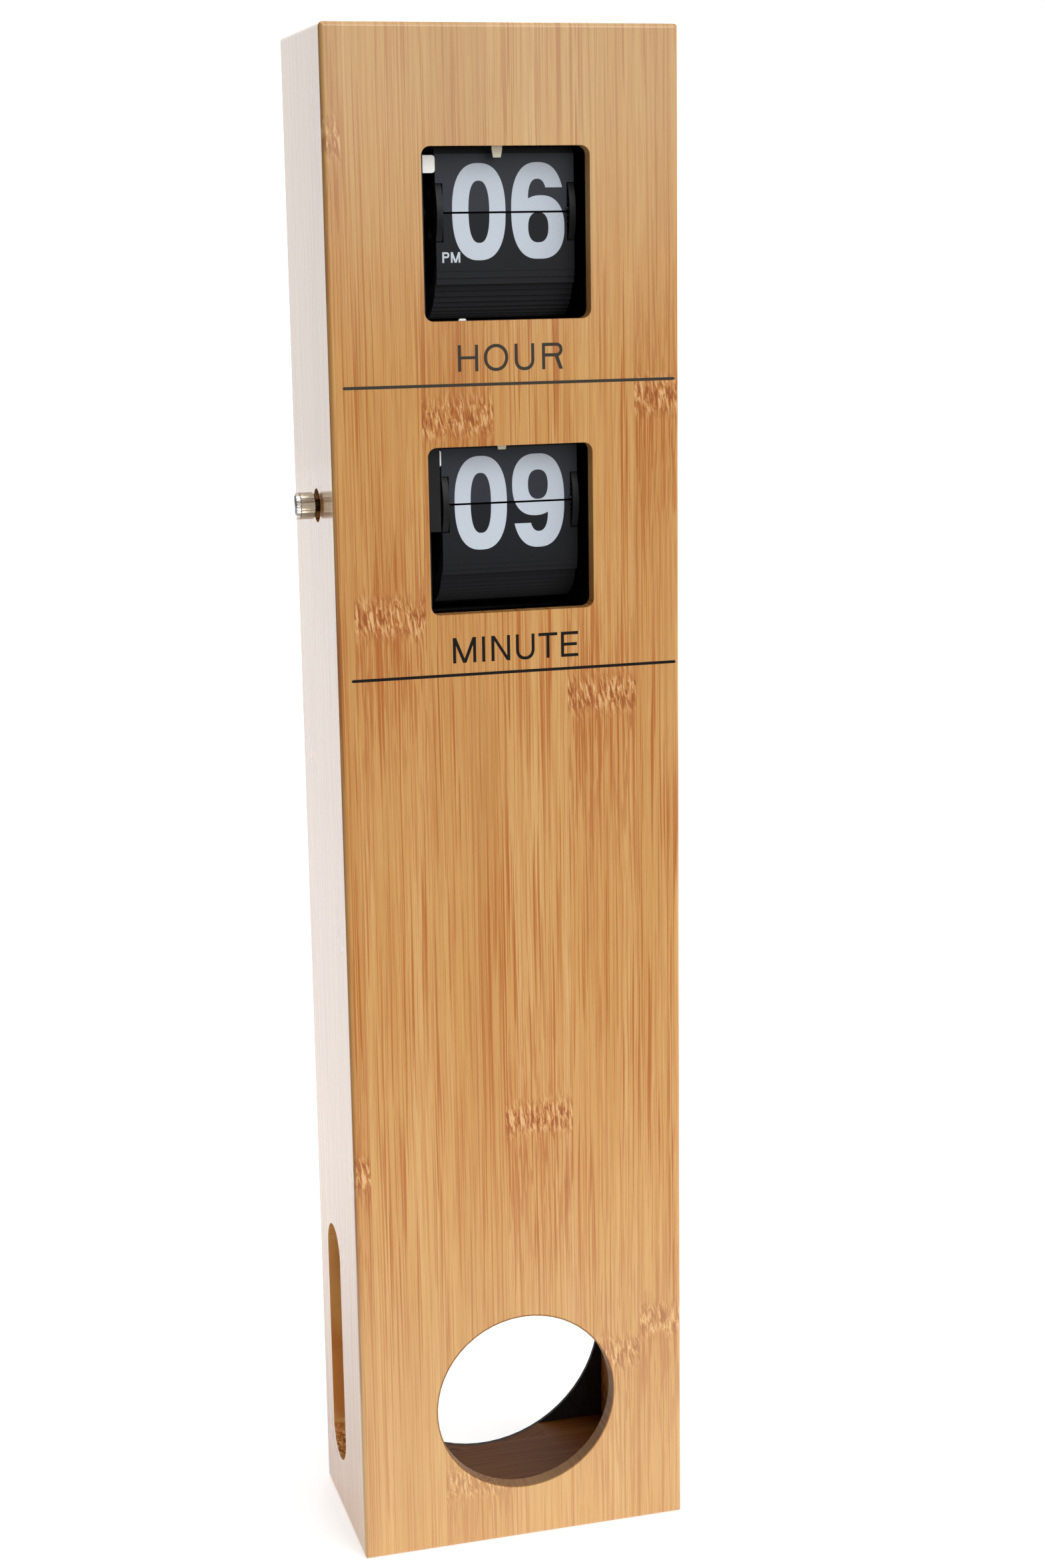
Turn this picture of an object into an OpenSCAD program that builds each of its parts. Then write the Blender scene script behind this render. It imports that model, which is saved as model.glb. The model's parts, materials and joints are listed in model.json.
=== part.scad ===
// Tall wooden flip clock with a pendulum bay. Millimetres, +Z up, front faces -Y.
// Origin: centre of the case's bottom face.

/* [Case] */
// case width, outside
case_w = 110; // [108:0.5:116]
// case height, outside
case_h = 488; // [486:1:520]
// case depth, outside
case_d = 62; // [61:0.5:70]
// rounding of the outer edges
edge_r = 1.5; // [0.5:0.25:2.5]
// front board thickness
front_t = 5; // [4:0.25:5.5]
// side board thickness
side_t = 10; // [9.5:0.25:10.5]
// thickness of the top and floor boards
cap_t = 10; // [8:0.5:10]
// back panel thickness
back_t = 2.5; // [2.2:0.1:3]
// how far the back panel sits in from the rear edge
back_in = 1; // [0.5:0.25:1.5]
// width of the rebate that holds the back panel
rebate_w = 6; // [5.5:0.25:7]
// clearance round the back panel
panel_gap = 0.3; // [0.1:0.1:0.5]
// underside of the shelf that carries the movement, below the case's top
shelf_drop = 193; // [191:0.5:194]
// shelf thickness
shelf_t = 6; // [5:0.5:7]

/* [Openings] */
// how far the windows and the bay sit to the right of the middle
opening_dx = 0.7; // [0:0.1:1.4]
// board left on each side of a window
window_side = 28.9; // [28.4:0.1:29.3]
// window height
window_h = 51.2; // [50:0.2:53]
// window corner radius
window_r = 2.8; // [1:0.2:5]
// middle of the hour window below the case's top
hour_window_drop = 61; // [59:0.5:63]
// middle of the minute window below the case's top
minute_window_drop = 149.8; // [148:0.2:151]
// bay opening diameter in the front
bay_d = 60.4; // [50:0.2:66]
// height of the bay opening's centre
bay_z = 48.4; // [47:0.2:60]
// opening diameter in the back panel
back_bay_d = 87; // [70:0.5:88]
// depth of the scallop that the back opening cuts in the floor
scallop_l = 10; // [6:0.5:14]
// side slot width
slot_w = 19.7; // [12:0.1:24]
// side slot length
slot_l = 84.5; // [60:0.5:90]
// side slot centre, behind the front face
slot_y = 38.2; // [36:0.2:40]
// height of the side slot's centre
slot_z = 60.6; // [56:0.2:70]

/* [Flip drums] */
// hour drum axis above the middle of its window
hour_rise = 6.3; // [5:0.1:7]
// minute drum axis above the middle of its window
minute_rise = 7.2; // [6:0.1:8]
// drum axis behind the front face
drum_y = 25.5; // [25:0.1:26.5]
// drum centre to the right of the middle
drum_dx = 2.9; // [2.4:0.1:3.2]
// radius of the circle of leaf pivots
pivot_r = 15.5; // [15:0.1:15.7]
// radius of the drum's discs
disc_r = 17.4; // [17:0.1:17.6]
// disc thickness
disc_t = 1.9; // [1.2:0.1:2]
// drum barrel radius
barrel_r = 6; // [4:0.5:9]
// gap between a leaf's side and the window's side
leaf_side = 4.3; // [4.1:0.1:5]
// leaf length from its pivot to its free edge
leaf_l = 16.3; // [15.5:0.1:16.4]
// leaf thickness
leaf_t = 0.12; // [0.1:0.01:0.13]
// gap between the upper and the lower leaf
leaf_gap = 0.6; // [0.5:0.05:0.8]
// depth of the notch in a leaf's side
notch_w = 2.3; // [2.3:0.1:3]
// height of that notch above the split line
notch_h = 8.7; // [8.6:0.1:9.5]
// leaves on the hour drum
hour_leaves_n = 48; // [48]
// leaves on the minute drum
minute_leaves_n = 60; // [60]
// outward lean of the leaves that stand behind the front one
leaf_lean = 8; // [7.8:0.1:8.2]
// inward lean of the fallen leaves behind the front few, which eases off towards the lowest one
fall_lean = 4; // [3.8:0.1:4.2]
// drum and knob axle diameter
axle_d = 3; // [2.6:0.1:3.4]
// radial running clearance of axles and pins
run_gap = 0.05; // [0.03:0.01:0.08]

/* [Movement] */
// gap between the leaves and the movement's plates
plate_gap = 4; // [3.5:0.1:4.5]
// movement plate thickness
plate_t = 2; // [1.6:0.1:2.2]
// tie rod diameter
rod_d = 4; // [3:0.25:4.5]
// gear face width
gear_w = 2.6; // [2:0.1:2.8]
// distance from one gear layer to the next
layer_p = 4; // [3.8:0.1:4.2]
// gear tooth backlash at the pitch circle
backlash = 0.05; // [0.04:0.01:0.08]
// motor can diameter
motor_d = 20; // [16:0.5:21]
// motor can length
motor_l = 8; // [6:0.5:9]

/* [Setting knob] */
// knob diameter over the ridges
knob_d = 8.3; // [7:0.1:9.5]
// knob length
knob_l = 6.5; // [5:0.25:10]
// gap between the knob and the case
knob_gap = 0.9; // [0.6:0.1:2]
// clearance hole in the case for the knob's neck
knob_hole_d = 10.5; // [9:0.25:12]
// number of ridges on the knob
knob_ridges = 28; // [20:1:32]

/* [Power] */
// cell diameter
cell_d = 34.2; // [33:0.1:34.2]
// cell length over the terminal
cell_l = 61.5; // [58:0.5:61.5]
// cell axis below the shelf
cell_drop = 24; // [23.5:0.5:26]
// wall of the battery box
box_t = 1.6; // [1.2:0.1:1.8]

/* [Pendulum drive] */
// hanger pivot below the shelf
hanger_drop = 59; // [57:1:65]
// hanger length from pivot to eye
hanger_l = 86; // [60:1:100]
// hanger strap width
strap_w = 6; // [5:0.5:8]
// drive box width
drive_w = 58; // [50:1:62]
// drive box height
drive_h = 44; // [40:1:46]
// drive box depth
drive_d = 16; // [14:0.25:16.5]

/* [Hidden] */
$fn = 96;
e = 0.01;
hw = case_w / 2;
hd = case_d / 2;
in_x = hw - side_t;
shelf_z = case_h - shelf_drop;
window_w = case_w - 2 * window_side;
leaf_w = window_w - 2 * leaf_side;
hour_window_z = case_h - hour_window_drop;
minute_window_z = case_h - minute_window_drop;
cell_z = shelf_z - cell_drop;
hanger_z = shelf_z - hanger_drop;
// lowest and highest screw of the back panel's sides
screw_z0 = bay_z + back_bay_d / 2 + 20.1;
screw_z1 = case_h - 18;
back_y = hd - back_in - back_t;
axis_y = drum_y - hd;
hour_z = hour_window_z + hour_rise;
minute_z = minute_window_z + minute_rise;
axis_gap = hour_z - minute_z;
top_in = case_h - cap_t;
shelf_top = shelf_z + shelf_t;
leaf_x0 = drum_dx - leaf_w / 2;
leaf_x1 = drum_dx + leaf_w / 2;
plate_l = leaf_x0 - plate_gap;
plate_r = leaf_x1 + plate_gap;
bore_r = axle_d / 2 + run_gap;
pin_r = 1.25;
hole_r = 0.5;
ear_r = hole_r - run_gap;
// gear module tied to the distance between the two drums
gm = axis_gap / 125.5;
// reach of the lip beside the minute leaves below their axis
lip_down = 8;
// side gap between a stop tab and its leaf
tab_gap = 0.1;
gear_add = 0.85 * gm;
gear_ded = 1.15 * gm;
n_pin = 12;
n_a = 48;
n_b = 36;
n_c = 56;
n_h = 24;
// gear axes as [Y, Z]
ax_m = [axis_y, minute_z];
ax_h = [axis_y, hour_z];
ax_a = [axis_y, minute_z + (n_pin + n_a) * gm / 2];
dist_ab = (n_pin + n_b) * gm / 2;
dist_bc = (n_pin + n_c) * gm / 2;
dist_ch = (n_c + n_h) * gm / 2;
ax_c = [axis_y + 8.5 * gm, hour_z - sqrt(dist_ch * dist_ch - 72.25 * gm * gm)];
v_ac = ax_c - ax_a;
d_ac = norm(v_ac);
u_ac = v_ac / d_ac;
s_ab = (dist_ab * dist_ab - dist_bc * dist_bc + d_ac * d_ac) / (2 * d_ac);
h_ab = sqrt(dist_ab * dist_ab - s_ab * s_ab);
ax_b = ax_a + s_ab * u_ac + h_ab * [u_ac[1], -u_ac[0]];
motor_dir = -70;
dist_mm = (n_pin + n_a) * gm / 2;
ax_motor = ax_m + dist_mm * [cos(motor_dir), sin(motor_dir)];
function dir2(p, q) = atan2(q[1] - p[1], q[0] - p[0]);
function mesh_turn(a1, n1, n2, phi) = phi + 180 - 360 * (0.5 - n1 * (phi - a1) / 360) / n2;
turn_p = 0;
turn_a = mesh_turn(turn_p, n_pin, n_a, dir2(ax_m, ax_a));
turn_b = mesh_turn(turn_a, n_pin, n_b, dir2(ax_a, ax_b));
turn_c = mesh_turn(turn_b, n_pin, n_c, dir2(ax_b, ax_c));
turn_h = mesh_turn(turn_c, n_c, n_h, dir2(ax_c, ax_h));
turn_mp = mesh_turn(0, n_a, n_pin, motor_dir);
plate_ol = plate_l - plate_t;
plate_or = plate_r + plate_t;
function layer_x(k) = plate_ol - 0.8 - gear_w - (k - 1) * layer_p;
wheel_x = plate_or + 0.6;
motor_x = wheel_x + gear_w + 0.6;
plate_y0 = 8.8 - hd;
plate_y1 = 50 - hd;
// tie rods, first as [Y, Z] from the hour axis
rod_out = disc_r + leaf_l + 2.8;
rods = [[-10, rod_out], [22, rod_out], [-10, -43.5], [22.5, -43.5],
    [2, shelf_top - hour_z + 5.3], [22, shelf_top - hour_z + 6.3]];
// places of the screws in the movement's feet
foot_y = [plate_y0 + 11.2, plate_y1 - 6];
board_hw = drive_w / 2 - 12;
cell_y = back_y - cell_d / 2 - 0.6;
box_w = cell_l + 5;
cell_x1 = box_w / 2 - 0.6;
cell_x0 = cell_x1 - cell_l;
box_h = cell_d + 1;
door_z = cell_z - box_h / 2;
door_t = back_t - 0.2;
hinge_r = door_t / 2;
hinge_y = back_y + 0.2 + hinge_r;
hinge_z = door_z + panel_gap + hinge_r;
strap_y = slot_y - hd;
drive_y0 = back_y - drive_d;
drive_z0 = hanger_z - drive_h + 8;
board_y = drive_y0 + 8.6;
wood = [0.8, 0.62, 0.4];
black = [0.08, 0.08, 0.09];
steel = [0.7, 0.7, 0.72];
brass = [0.75, 0.62, 0.35];
white = [0.9, 0.9, 0.86];

// flat shape drawn in (Y, Z), swept along X from x0 over len
module along_x(x0, len) {
    translate([x0, 0, 0])
        rotate([90, 0, 90])
            linear_extrude(len)
                children();
}

// flat shape drawn in (X, Z), swept along Y from y0 over len
module along_y(y0, len) {
    translate([0, y0 + len, 0])
        rotate([90, 0, 0])
            linear_extrude(len)
                children();
}

module box(x0, x1, y0, y1, z0, z1) {
    translate([x0, y0, z0])
        cube([x1 - x0, y1 - y0, z1 - z0]);
}

module round_rect(w, h, r) {
    union() {
        square([w - 2 * r, h], center = true);
        square([w, h - 2 * r], center = true);
        for (sx = [-1, 1])
            for (sy = [-1, 1])
                translate([sx * (w / 2 - r), sy * (h / 2 - r)])
                    circle(r);
    }
}

module slot_shape(w, l) {
    union() {
        square([w, l - w], center = true);
        for (s = [-1, 1])
            translate([0, s * (l - w) / 2])
                circle(w / 2);
    }
}

// outer form of the case with all edges rounded
module case_form() {
    intersection() {
        linear_extrude(case_h)
            round_rect(case_w, case_d, edge_r);
        along_y(-hd, case_d)
            translate([0, case_h / 2])
                round_rect(case_w, case_h, edge_r);
        along_x(-hw, case_w)
            translate([0, case_h / 2])
                round_rect(case_d, case_h, edge_r);
    }
}

// countersunk or pan head screw along +Y, head outer face at y = 0
module wood_screw(len, head_r, shank_r) {
    difference() {
        union() {
            rotate([90, 0, 0])
                cylinder(h = len, r = shank_r);
            rotate([90, 0, 0])
                cylinder(h = 1.4, r1 = head_r, r2 = shank_r);
        }
        for (a = [0, 90])
            rotate([0, a, 0])
                translate([-head_r * 0.6, -0.5, -0.25])
                    cube([head_r * 1.2, 0.6, 0.5]);
    }
}

module screw_seat(len, head_r, shank_r) {
    rotate([90, 0, 0])
        cylinder(h = len + 0.4, r = shank_r + 0.05);
    rotate([90, 0, 0])
        translate([0, 0, -1])
            cylinder(h = 1.05, r = head_r + 0.1);
    rotate([90, 0, 0])
        cylinder(h = 1.45, r1 = head_r + 0.1, r2 = shank_r + 0.05);
}

// places of the screws that hold the back panel
module at_back_screws() {
    for (sx = [-1, 1]) {
        for (k = [0:4])
            translate([sx * (in_x + rebate_w / 2 - 0.2), hd - back_in, screw_z0 + k * (screw_z1 - screw_z0) / 4])
                children();
        translate([sx * (in_x - 6), hd - back_in, cap_t / 2 - 0.4])
            children();
    }
}

module front_panel() {
    color(wood)
    difference() {
        intersection() {
            case_form();
            box(-hw, hw, -hd, front_t - hd, 0, case_h);
        }
        for (z = [hour_window_z, minute_window_z])
            translate([opening_dx, 0, z])
                along_y(-hd - 1, front_t + 2)
                    round_rect(window_w, window_h, window_r);
        along_y(-hd - 1, front_t + 2)
            translate([opening_dx, bay_z])
                circle(bay_d / 2);
    }
}

module side_board(s) {
    difference() {
        intersection() {
            case_form();
            if (s > 0)
                box(in_x, hw, front_t - hd, hd, 0, case_h);
            else
                box(-hw, -in_x, front_t - hd, hd, 0, case_h);
        }
        translate([s * in_x, 0, -1])
            translate([-rebate_w, back_y, 0])
                cube([2 * rebate_w, 10, case_h - cap_t + rebate_w + 1]);
        translate([s * (hw - side_t / 2), 0, 0])
            along_x(-side_t, 2 * side_t)
                translate([slot_y - hd, slot_z])
                    slot_shape(slot_w, slot_l);
        at_back_screws()
            screw_seat(9, 2.6, 1.2);
    }
}

module left_panel() {
    color(wood)
    difference() {
        side_board(-1);
        along_x(-hw - 1, side_t + 2)
            translate([axis_y, minute_z])
                circle(knob_hole_d / 2);
    }
}

module right_panel() {
    color(wood)
        side_board(1);
}

module top_board() {
    color(wood)
    difference() {
        intersection() {
            case_form();
            box(-in_x, in_x, front_t - hd, hd, top_in, case_h);
        }
        box(-hw, hw, back_y, hd + 1, top_in - 1, top_in + rebate_w);
        for (x = [plate_l + 4, plate_r - 4])
            for (y = foot_y)
                translate([x, y, top_in - 1])
                    cylinder(h = 7, r = 1.05);
    }
}

module floor_board() {
    color(wood)
    difference() {
        intersection() {
            case_form();
            box(-in_x, in_x, front_t - hd, back_y, 0, cap_t);
        }
        along_y(back_y - scallop_l, scallop_l + 1)
            translate([opening_dx, bay_z])
                circle(back_bay_d / 2);
        at_back_screws()
            screw_seat(9, 2.6, 1.2);
    }
}

module shelf() {
    color(wood)
    difference() {
        box(-in_x, in_x, front_t - hd, back_y, shelf_z, shelf_top);
        for (x = [plate_l + 4, plate_r - 4])
            for (y = foot_y)
                translate([x, y, shelf_z - 1])
                    cylinder(h = shelf_t + 2, r = 1.05);
    }
}

module back_panel() {
    color(black)
    difference() {
        union() {
            box(-in_x - rebate_w + panel_gap, in_x + rebate_w - panel_gap,
                back_y, hd - back_in, 0.4, top_in + rebate_w - panel_gap);
        }
        along_y(back_y - 1, back_t + 2)
            translate([opening_dx, bay_z])
                circle(back_bay_d / 2);
        translate([opening_dx, 0, bay_z])
            rotate([-90, 0, 0])
                translate([0, 0, hd - back_in - 1.2])
                    cylinder(h = 1.3, r1 = back_bay_d / 2 - e, r2 = back_bay_d / 2 + 1.2);
        box(-box_w / 2, box_w / 2, back_y - 1, hd, door_z, door_z + box_h);
        along_x(-box_w / 2 - 2.4, box_w + 4.8)
            translate([hinge_y, hinge_z])
                circle(0.8 + run_gap);
        at_back_screws()
            screw_seat(9, 2.6, 1.2);
        at_box_screws()
            screw_seat(9, 2.2, 0.9);
        at_drive_screws()
            screw_seat(9, 2.2, 0.9);
    }
}

module back_screws() {
    color(steel)
        at_back_screws()
            wood_screw(9, 2.6, 1.2);
}

// movement plate drawn in (Y, Z)
module plate_shape() {
    difference() {
        union() {
            translate([plate_y0, shelf_top])
                square([plate_y1 - plate_y0, top_in - shelf_top]);
        }
        translate([plate_y0 - 1, minute_z + 26])
            square([5.5, hour_z - minute_z - 62]);
        for (p = [ax_m, ax_h])
            translate(p)
                circle(bore_r);
        for (r = rods)
            translate([axis_y + r[0], hour_z + r[1]])
                circle(1.3);
    }
}

module plate_feet(x0, x1) {
    difference() {
        for (z = [shelf_top, top_in - plate_t])
            box(x0, x1, plate_y0, plate_y1, z, z + plate_t);
        for (y = foot_y)
            translate([(x0 + x1) / 2 + (x0 < 0 ? 0.5 : -0.5), y, shelf_top - 1])
                cylinder(h = top_in - shelf_top + 2, r = 1.3);
    }
}

module plate_left() {
    color(black)
    difference() {
        union() {
            along_x(plate_ol, plate_t)
                plate_shape();
            plate_feet(plate_l - e, plate_l + 7);
            // lip beside the minute leaves
            box(plate_l - e, leaf_x0 - 0.9, plate_y0 - 0.8, plate_y0 + 0.4, minute_z - lip_down, minute_z + 21);
            box(plate_ol, plate_l, plate_y0 - 0.8, plate_y0 + e, minute_z - lip_down, minute_z + 21);
        }
        for (p = [ax_a, ax_b, ax_c])
            along_x(plate_ol - 1, plate_t + 2)
                translate(p)
                    circle(pin_r + 0.02);
        for (z = [hour_z, minute_z])
            box(plate_ol - 1, plate_l + 1, plate_y0 + 0.55, plate_y0 + 1.75, z + 11.6, z + 17.1);
    }
}

module plate_right() {
    color(black)
    difference() {
        union() {
            along_x(plate_r, plate_t)
                plate_shape();
            plate_feet(plate_r - 7, plate_r + e);
        }
        at_motor_ears(plate_r - 1)
            cylinder(h = plate_t + 2, r = 1.02);
    }
}

module plate_screws() {
    color(steel)
    for (x = [plate_l + 4, plate_r - 4])
        for (y = foot_y) {
            translate([x, y, shelf_top + plate_t])
                rotate([90, 0, 0])
                    pan_screw(6, 2.1, 1);
            translate([x, y, top_in - plate_t])
                rotate([-90, 0, 0])
                    pan_screw(6, 2.1, 1);
        }
}

// pan head screw along -Y, underside of the head at y = 0
module pan_screw(len, head_r, shank_r) {
    difference() {
        union() {
            translate([0, 1.2, 0])
                rotate([90, 0, 0])
                    cylinder(h = 1.2, r = head_r);
            rotate([90, 0, 0])
                cylinder(h = len, r = shank_r);
        }
        translate([-head_r, 0.7, -0.25])
            cube([2 * head_r, 1, 0.5]);
    }
}

module tie_rods() {
    color(steel)
    for (r = rods)
        difference() {
            along_x(plate_l, plate_r - plate_l)
                translate([axis_y + r[0], hour_z + r[1]])
                    circle(rod_d / 2);
            for (x = [plate_l - 1, plate_r - 5])
                along_x(x, 6)
                    translate([axis_y + r[0], hour_z + r[1]])
                        circle(1.05);
        }
}

module rod_screws() {
    color(steel)
    for (r = rods) {
        translate([plate_ol, axis_y + r[0], hour_z + r[1]])
            rotate([0, 0, 90])
                pan_screw(6, 2.1, 1);
        translate([plate_or, axis_y + r[0], hour_z + r[1]])
            rotate([0, 0, -90])
                pan_screw(6, 2.1, 1);
    }
}

// one leaf, pivot on the X axis, free edge towards +Y
module leaf_shape(base, pin) {
    h0 = leaf_w / 2;
    h1 = h0 - notch_w;
    ear = h0 - 0.1;
    nh = notch_h - base;
    b = leaf_gap / 2 - base;
    linear_extrude(leaf_t, center = true)
        polygon([[h1, b], [h1, -0.3], [pin ? h1 : ear, -0.3], [pin ? h1 : ear, 0.3], [h1, 0.3],
                 [h1, nh], [h0, nh], [h0, leaf_l], [-h0, leaf_l], [-h0, nh], [-h1, nh],
                 [-h1, 0.3], [pin ? -h1 : -ear, 0.3], [pin ? -h1 : -ear, -0.3], [-h1, -0.3], [-h1, b]]);
    if (pin)
        for (s = [-1, 1])
            translate([s * (h1 + ear - 0.4) / 2, 0, 0])
                rotate([0, 90, 0])
                    cylinder(h = ear - h1 + 0.4, r = ear_r, center = true);
}

// direction in which a leaf at pivot angle t points; 90 is up, 270 is down
function fall(t) = t > 336 ? 0 : max(0, (t - 285) / 48);
function leaf_dir(t) = min(270, max(90, t + 90 - leaf_lean)) - fall_lean * fall(t);

module place_leaf(axis_z, t) {
    translate([drum_dx, axis_y - pivot_r * cos(t), axis_z + pivot_r * sin(t)])
        rotate([180 - leaf_dir(t), 0, 0])
            children();
}

module leaf_pack(n, axis_z) {
    p = 360 / n;
    for (k = [1:n - 1])
        place_leaf(axis_z, (k + 0.5) * p)
            leaf_shape(pivot_r * sin(p / 2), false);
}

module flip_leaf(n, axis_z) {
    p = 360 / n;
    place_leaf(axis_z, p / 2)
        leaf_shape(pivot_r * sin(p / 2), true);
}

module drum(n, axis_z) {
    p = 360 / n;
    difference() {
        union() {
            along_x(leaf_x0, disc_t)
                drum_disc(n, axis_z);
            along_x(leaf_x1 - disc_t, disc_t)
                drum_disc(n, axis_z);
            along_x(leaf_x0 + disc_t - e, leaf_w - 2 * disc_t + 2 * e)
                translate([axis_y, axis_z])
                    circle(barrel_r);
            for (x = [plate_l + 0.4, leaf_x1 - e])
                along_x(x, plate_gap - 0.4 + e)
                    translate([axis_y, axis_z])
                        circle(3);
        }
        along_x(plate_l, plate_r - plate_l)
            translate([axis_y, axis_z])
                circle(bore_r);
    }
}

module drum_disc(n, axis_z) {
    p = 360 / n;
    translate([axis_y, axis_z])
        difference() {
            circle(disc_r);
            for (k = [0:n - 1])
                rotate(-(k + 0.5) * p + 180)
                    translate([pivot_r, 0])
                        circle(hole_r, $fn = 24);
            for (k = [0:4])
                rotate(k * 72)
                    translate([10.2, 0])
                        circle(2.6);
        }
}

module hour_drum() {
    color(black)
        drum(hour_leaves_n, hour_z);
}

module minute_drum() {
    color(black)
        drum(minute_leaves_n, minute_z);
}

module hour_leaves() {
    color(black)
        leaf_pack(hour_leaves_n, hour_z);
}

module minute_leaves() {
    color(black)
        leaf_pack(minute_leaves_n, minute_z);
}

module hour_flip_leaf() {
    color(black)
        flip_leaf(hour_leaves_n, hour_z);
}

module minute_flip_leaf() {
    color(black)
        flip_leaf(minute_leaves_n, minute_z);
}

module hour_axle() {
    color(steel)
        along_x(layer_x(1) - 0.6, plate_or + 1 - layer_x(1) + 0.6)
            translate(ax_h)
                circle(axle_d / 2);
}

module minute_axle() {
    color(steel)
        along_x(-hw - knob_gap - knob_l + 2, wheel_x + gear_w + 0.4 + hw + knob_gap + knob_l - 2)
            translate(ax_m)
                circle(axle_d / 2);
}

// spur gear with n teeth about the origin, in the plane
function flank(rb, r) = r <= rb ? 0 : sqrt(r * r / rb / rb - 1) * 180 / PI - atan(sqrt(r * r / rb / rb - 1));

module gear_shape(n, turn) {
    rp = n * gm / 2;
    rb = rp * cos(20);
    half = 90 / n - backlash / rp * 180 / PI;
    rr = [rp - gear_ded, rp, rp + gear_add, rp + gear_add, rp, rp - gear_ded];
    ss = [-1, -1, -1, 1, 1, 1];
    rotate(turn)
        polygon([for (i = [0:n - 1]) for (j = [0:5])
            let (a = i * 360 / n + ss[j] * (half - flank(rb, rr[j]) + flank(rb, rp)))
                [rr[j] * cos(a), rr[j] * sin(a)]]);
}

module set_pinion() {
    color(brass)
    along_x(layer_x(3), gear_w)
        translate(ax_m)
            difference() {
                gear_shape(n_pin, turn_p);
                circle(bore_r);
            }
}

// wheel and pinion on one pin, with a sleeve up to the plate
module train_gear(p, n1, k1, n2, k2, turn) {
    difference() {
        union() {
            along_x(layer_x(k1), gear_w)
                translate(p)
                    gear_shape(n1, turn);
            if (n2 > 0)
                along_x(layer_x(k2), gear_w)
                    translate(p)
                        gear_shape(n2, turn);
            along_x(layer_x(k1) + e, plate_ol - 0.3 - layer_x(k1))
                translate(p)
                    circle(2.3);
        }
        along_x(layer_x(k1) - 1, plate_ol - layer_x(k1) + 2)
            translate(p)
                circle(pin_r + run_gap);
    }
}

module train_gear_a() {
    color(brass)
        train_gear(ax_a, n_a, 3, n_pin, 2, turn_a);
}

module train_gear_b() {
    color(brass)
        train_gear(ax_b, n_b, 2, n_pin, 1, turn_b);
}

module train_gear_c() {
    color(brass)
        train_gear(ax_c, n_c, 1, 0, 1, turn_c);
}

module hour_gear() {
    color(brass)
    along_x(layer_x(1), gear_w)
        translate(ax_h)
            difference() {
                gear_shape(n_h, turn_h);
                circle(bore_r);
            }
}

module train_pins() {
    color(steel)
    for (q = [[ax_a, 3], [ax_b, 2], [ax_c, 1]]) {
        along_x(layer_x(q[1]) - 0.3, plate_l - layer_x(q[1]) + 0.3)
            translate(q[0])
                circle(pin_r);
        along_x(layer_x(q[1]) - 0.9, 0.7)
            translate(q[0])
                circle(2.2);
    }
}

module drive_wheel() {
    color(brass)
    along_x(wheel_x, gear_w)
        translate(ax_m)
            difference() {
                gear_shape(n_a, 0);
                circle(bore_r);
            }
}

module motor_pinion() {
    color(brass)
    difference() {
        along_x(wheel_x, gear_w + 0.3)
            translate(ax_motor)
                gear_shape(n_pin, turn_mp);
        along_x(wheel_x - 1, gear_w + 3)
            translate(ax_motor)
                circle(0.77);
    }
}

module motor_shaft() {
    color(steel)
        along_x(wheel_x, gear_w + 3)
            translate(ax_motor)
                circle(0.75);
}

// places of the motor's two ears, drilling along X from x0
module at_motor_ears(x0) {
    for (s = [-1, 1])
        translate([x0, ax_motor[0] + s * 13.5 * cos(motor_dir + 90), ax_motor[1] + s * 13.5 * sin(motor_dir + 90)])
            rotate([0, 90, 0])
                children();
}

module motor() {
    color(steel)
    difference() {
        union() {
            along_x(motor_x + 0.4, motor_l)
                translate(ax_motor)
                    circle(motor_d / 2);
            at_motor_ears(motor_x + 0.4)
                cylinder(h = 1.2, r = 2.6);
            translate([motor_x + 0.4, ax_motor[0], ax_motor[1]])
                rotate([motor_dir + 90, 0, 0])
                    translate([0, -13.5, -2.6])
                        cube([1.2, 27, 5.2]);
        }
        at_motor_ears(motor_x - 1)
            cylinder(h = 4, r = 1.2);
        along_x(motor_x, 3.2)
            translate(ax_motor)
                circle(0.75 + run_gap);
    }
}

module motor_posts() {
    color(brass)
    difference() {
        at_motor_ears(plate_or)
            cylinder(h = motor_x + 0.4 - plate_or, r = 2.2);
        at_motor_ears(plate_or - 1)
            cylinder(h = 12, r = 1.05);
    }
}

module motor_screws() {
    color(steel)
    at_motor_ears(motor_x + 1.6)
        rotate([0, 90, 0])
            rotate([0, 0, 90])
                pan_screw(6, 2, 1);
}

// catch bar above a drum, and the finger that stops the standing leaf
module catch_bar(axis_z) {
    box(plate_l, plate_r, axis_y - 19.9, axis_y - 17.3, axis_z + 23.6, axis_z + 28);
}

module hour_catch_bar() {
    color(black)
        catch_bar(hour_z);
}

module minute_catch_bar() {
    color(black)
        catch_bar(minute_z);
}

module finger(axis_z, tip) {
    translate([drum_dx - 3.65, 0, axis_z])
        along_y(axis_y - 20.4, 0.5)
            polygon([[-1.17, tip], [1.17, tip], [1.6, tip + 2.3], [1.6, 27.6], [-1.6, 27.6], [-1.6, tip + 2.3]]);
}

module hour_catch() {
    color(white)
        finger(hour_z, 16);
}

module minute_catch() {
    color(white)
        finger(minute_z, 16.8);
}

// white stop tab let into the left plate beside the standing leaf
module stop_tab(axis_z) {
    translate([0, plate_y0 + 1.7, axis_z + 14.35])
        rotate([90, 0, 0])
            linear_extrude(1.1)
                union() {
                    translate([plate_ol, -2.6])
                        square([leaf_x0 - tab_gap - plate_ol - 0.9, 5.2]);
                    translate([plate_ol, -1.7])
                        square([leaf_x0 - tab_gap - plate_ol, 3.4]);
                    for (s = [-1, 1])
                        translate([leaf_x0 - tab_gap - 0.9, s * 1.7])
                            circle(0.9);
                }
}

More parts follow.
